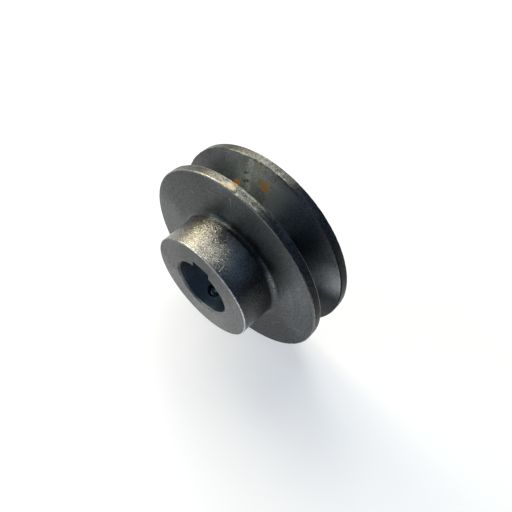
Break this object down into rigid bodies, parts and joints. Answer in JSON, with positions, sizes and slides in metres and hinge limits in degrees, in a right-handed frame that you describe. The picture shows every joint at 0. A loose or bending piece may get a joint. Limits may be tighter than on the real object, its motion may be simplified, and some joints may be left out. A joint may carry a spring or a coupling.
{
  "type": "v belt pulley",
  "caption": "Cast iron V belt pulley with a single groove, a boss on one side, a keyed bore and a grub screw in the boss.",
  "frame": {"origin": "on the bore's axis, in the middle plane of the V groove", "axes": "+Y along the bore, from the boss towards the plain side; +Z through the middle of the keyway; the grub screw points to -Z"},
  "size_m": [0.0856, 0.036, 0.0854],
  "materials": {
    "cast_iron": "dark grey iron, turned on the rim, groove and faces and as cast on the boss, oiled, with two rust spots",
    "black_steel": "black oxide on alloy steel, lightly oiled"
  },
  "bodies": {
    "pulley": {"pulley": "cast_iron"},
    "set_screw": {"set_screw": "black_steel"}
  },
  "joints": [
    {"name": "set_screw_travel", "type": "slide", "parent": "pulley", "child": "set_screw", "axis": [0, 0, -1], "range_m": [-0.0005, 0.004]}
  ]
}
